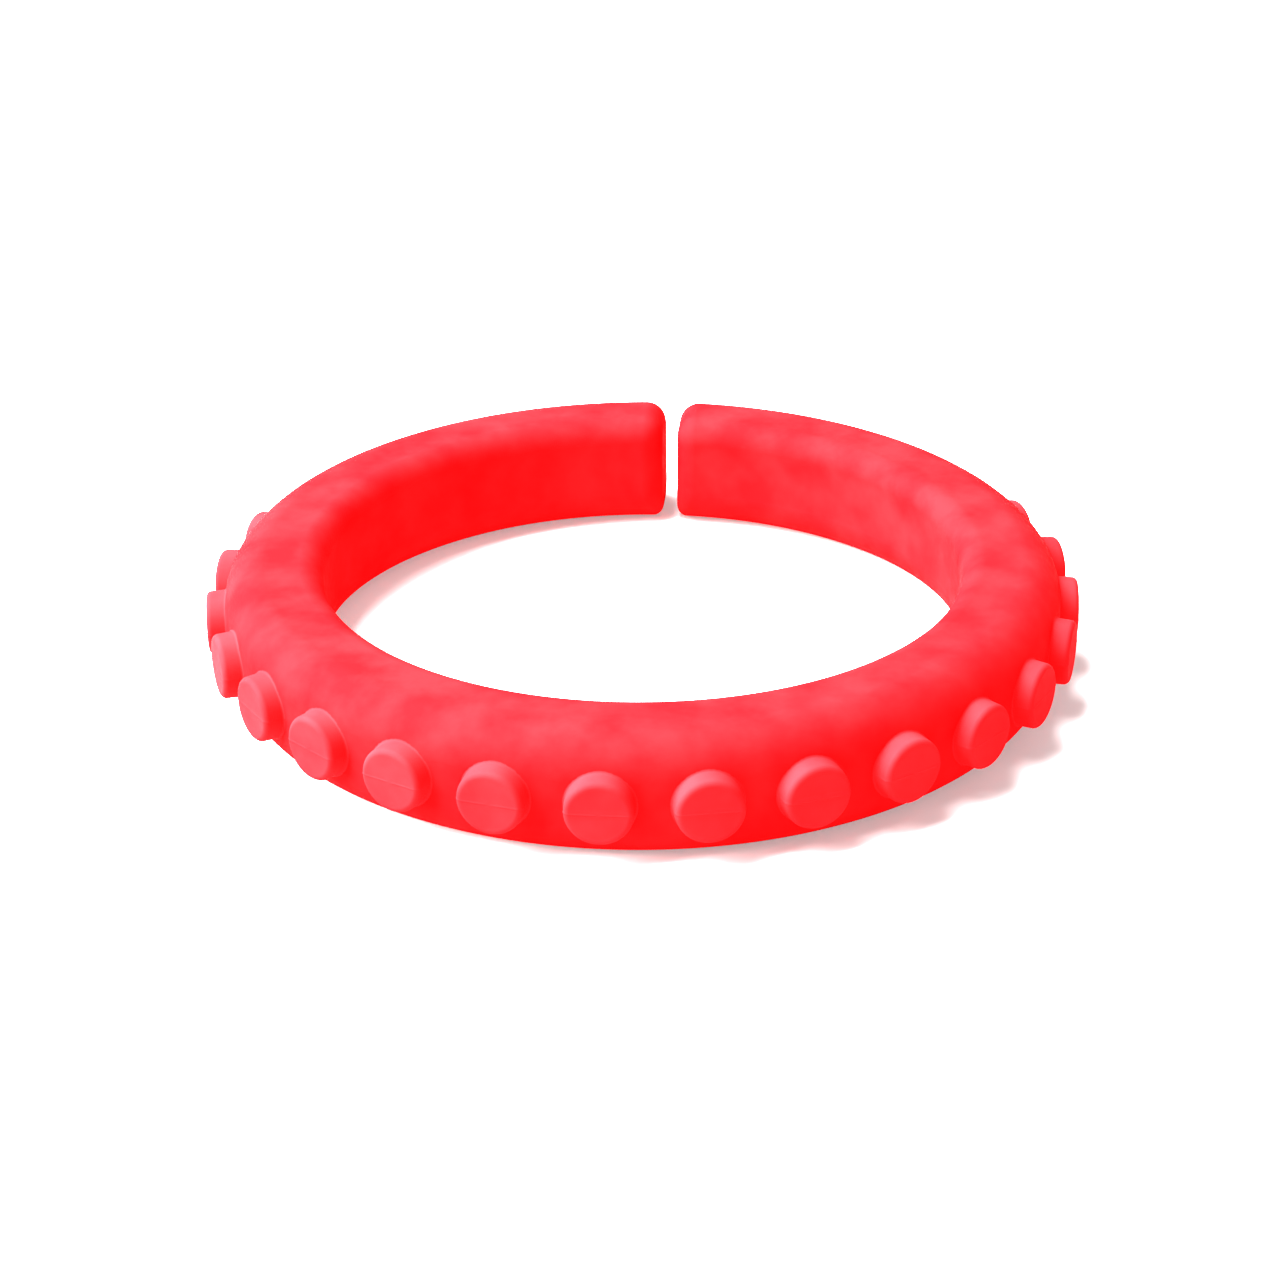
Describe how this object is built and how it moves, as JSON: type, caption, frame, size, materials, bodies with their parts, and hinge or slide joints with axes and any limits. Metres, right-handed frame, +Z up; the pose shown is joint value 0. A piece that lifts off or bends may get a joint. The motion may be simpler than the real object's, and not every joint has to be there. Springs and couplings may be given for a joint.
{
  "type": "studded elastomer bracelet",
  "caption": "Open C-shaped bracelet moulded in soft rubbery elastomer, with round flat-topped studs round its outer wall; it springs open to go over a wrist.",
  "frame": {"origin": "centre of the wrist opening, on the face that the bracelet lies on", "axes": "+Z up, along the wrist; -Y to the front, opposite the gap; +Y to the gap; +X right"},
  "size_m": [0.0732, 0.073, 0.0103],
  "materials": {
    "band_rubber": "satin matte, moulded",
    "stud_rubber": "satin matte, moulded"
  },
  "bodies": {
    "front": {"front_arc": "band_rubber", "front_stud": "stud_rubber", "right_flex_1": "band_rubber", "left_flex_1": "band_rubber"},
    "right_front_side": {"right_arc_1": "band_rubber", "right_stud_1": "stud_rubber", "right_flex_2": "band_rubber"},
    "left_front_side": {"left_arc_1": "band_rubber", "left_stud_1": "stud_rubber", "left_flex_2": "band_rubber"},
    "right_quarter": {"right_arc_2": "band_rubber", "right_stud_2": "stud_rubber", "right_stud_3": "stud_rubber", "right_flex_3": "band_rubber"},
    "left_quarter": {"left_arc_2": "band_rubber", "left_stud_2": "stud_rubber", "left_stud_3": "stud_rubber", "left_flex_3": "band_rubber"},
    "right_side": {"right_arc_3": "band_rubber", "right_stud_4": "stud_rubber", "right_stud_5": "stud_rubber", "right_flex_4": "band_rubber"},
    "left_side": {"left_arc_3": "band_rubber", "left_stud_4": "stud_rubber", "left_stud_5": "stud_rubber", "left_flex_4": "band_rubber"},
    "right_rear": {"right_arc_4": "band_rubber", "right_stud_6": "stud_rubber", "right_stud_7": "stud_rubber", "right_stud_8": "stud_rubber", "right_flex_5": "band_rubber"},
    "left_rear": {"left_arc_4": "band_rubber", "left_stud_6": "stud_rubber", "left_stud_7": "stud_rubber", "left_stud_8": "stud_rubber", "left_flex_5": "band_rubber"},
    "right_end": {"right_end_arm": "band_rubber", "right_stud_9": "stud_rubber", "right_stud_10": "stud_rubber", "right_stud_11": "stud_rubber", "right_stud_12": "stud_rubber", "right_stud_13": "stud_rubber"},
    "left_end": {"left_end_arm": "band_rubber", "left_stud_9": "stud_rubber", "left_stud_10": "stud_rubber", "left_stud_11": "stud_rubber", "left_stud_12": "stud_rubber", "left_stud_13": "stud_rubber"}
  },
  "joints": [
    {"name": "right_twist", "type": "hinge", "parent": "front", "child": "right_front_side", "pos_m": [0.00353, -0.03065, 0.00515], "axis": [0.9934, 0.1145, 0], "range_deg": [-15, 15], "stiffness_Nm_per_rad": 0.0403, "deforming": ["right_flex_1"]},
    {"name": "right_spread", "type": "hinge", "parent": "right_front_side", "child": "right_quarter", "pos_m": [0.01041, -0.02904, 0.00515], "axis": [0, 0, -1], "range_deg": [-0.25, 9], "stiffness_Nm_per_rad": 0.1454, "deforming": ["right_flex_2"]},
    {"name": "right_spread_side", "type": "hinge", "parent": "right_quarter", "child": "right_side", "pos_m": [0.0222, -0.02142, 0.00515], "axis": [0, 0, -1], "range_deg": [-0.18, 6.26], "stiffness_Nm_per_rad": 0.1828, "deforming": ["right_flex_3"]},
    {"name": "right_spread_rear", "type": "hinge", "parent": "right_side", "child": "right_rear", "pos_m": [0.02939, -0.00937, 0.00515], "axis": [0, 0, -1], "range_deg": [-0.17, 5.77], "stiffness_Nm_per_rad": 0.1526, "deforming": ["right_flex_4"]},
    {"name": "right_spread_end", "type": "hinge", "parent": "right_rear", "child": "right_end", "pos_m": [0.02865, 0.01144, 0.00515], "axis": [0, 0, -1], "range_deg": [-0.13, 4.33], "stiffness_Nm_per_rad": 0.0982, "deforming": ["right_flex_5"]},
    {"name": "left_twist", "type": "hinge", "parent": "front", "child": "left_front_side", "pos_m": [-0.00353, -0.03065, 0.00515], "axis": [0.9934, -0.1145, 0], "range_deg": [-15, 15], "stiffness_Nm_per_rad": 0.0403, "deforming": ["left_flex_1"]},
    {"name": "left_spread", "type": "hinge", "parent": "left_front_side", "child": "left_quarter", "pos_m": [-0.01041, -0.02904, 0.00515], "axis": [0, 0, 1], "range_deg": [-0.25, 9], "stiffness_Nm_per_rad": 0.1454, "deforming": ["left_flex_2"]},
    {"name": "left_spread_side", "type": "hinge", "parent": "left_quarter", "child": "left_side", "pos_m": [-0.0222, -0.02142, 0.00515], "axis": [0, 0, 1], "range_deg": [-0.18, 6.26], "stiffness_Nm_per_rad": 0.1828, "deforming": ["left_flex_3"]},
    {"name": "left_spread_rear", "type": "hinge", "parent": "left_side", "child": "left_rear", "pos_m": [-0.02939, -0.00937, 0.00515], "axis": [0, 0, 1], "range_deg": [-0.17, 5.77], "stiffness_Nm_per_rad": 0.1526, "deforming": ["left_flex_4"]},
    {"name": "left_spread_end", "type": "hinge", "parent": "left_rear", "child": "left_end", "pos_m": [-0.02865, 0.01144, 0.00515], "axis": [0, 0, 1], "range_deg": [-0.13, 4.33], "stiffness_Nm_per_rad": 0.0982, "deforming": ["left_flex_5"]}
  ],
  "couplings": [
    {"joint": "right_spread_side", "follows": "right_spread", "ratio": 0.694},
    {"joint": "right_spread_rear", "follows": "right_spread", "ratio": 0.6398},
    {"joint": "right_spread_end", "follows": "right_spread", "ratio": 0.4797},
    {"joint": "left_spread_side", "follows": "left_spread", "ratio": 0.694},
    {"joint": "left_spread_rear", "follows": "left_spread", "ratio": 0.6398},
    {"joint": "left_spread_end", "follows": "left_spread", "ratio": 0.4797}
  ]
}
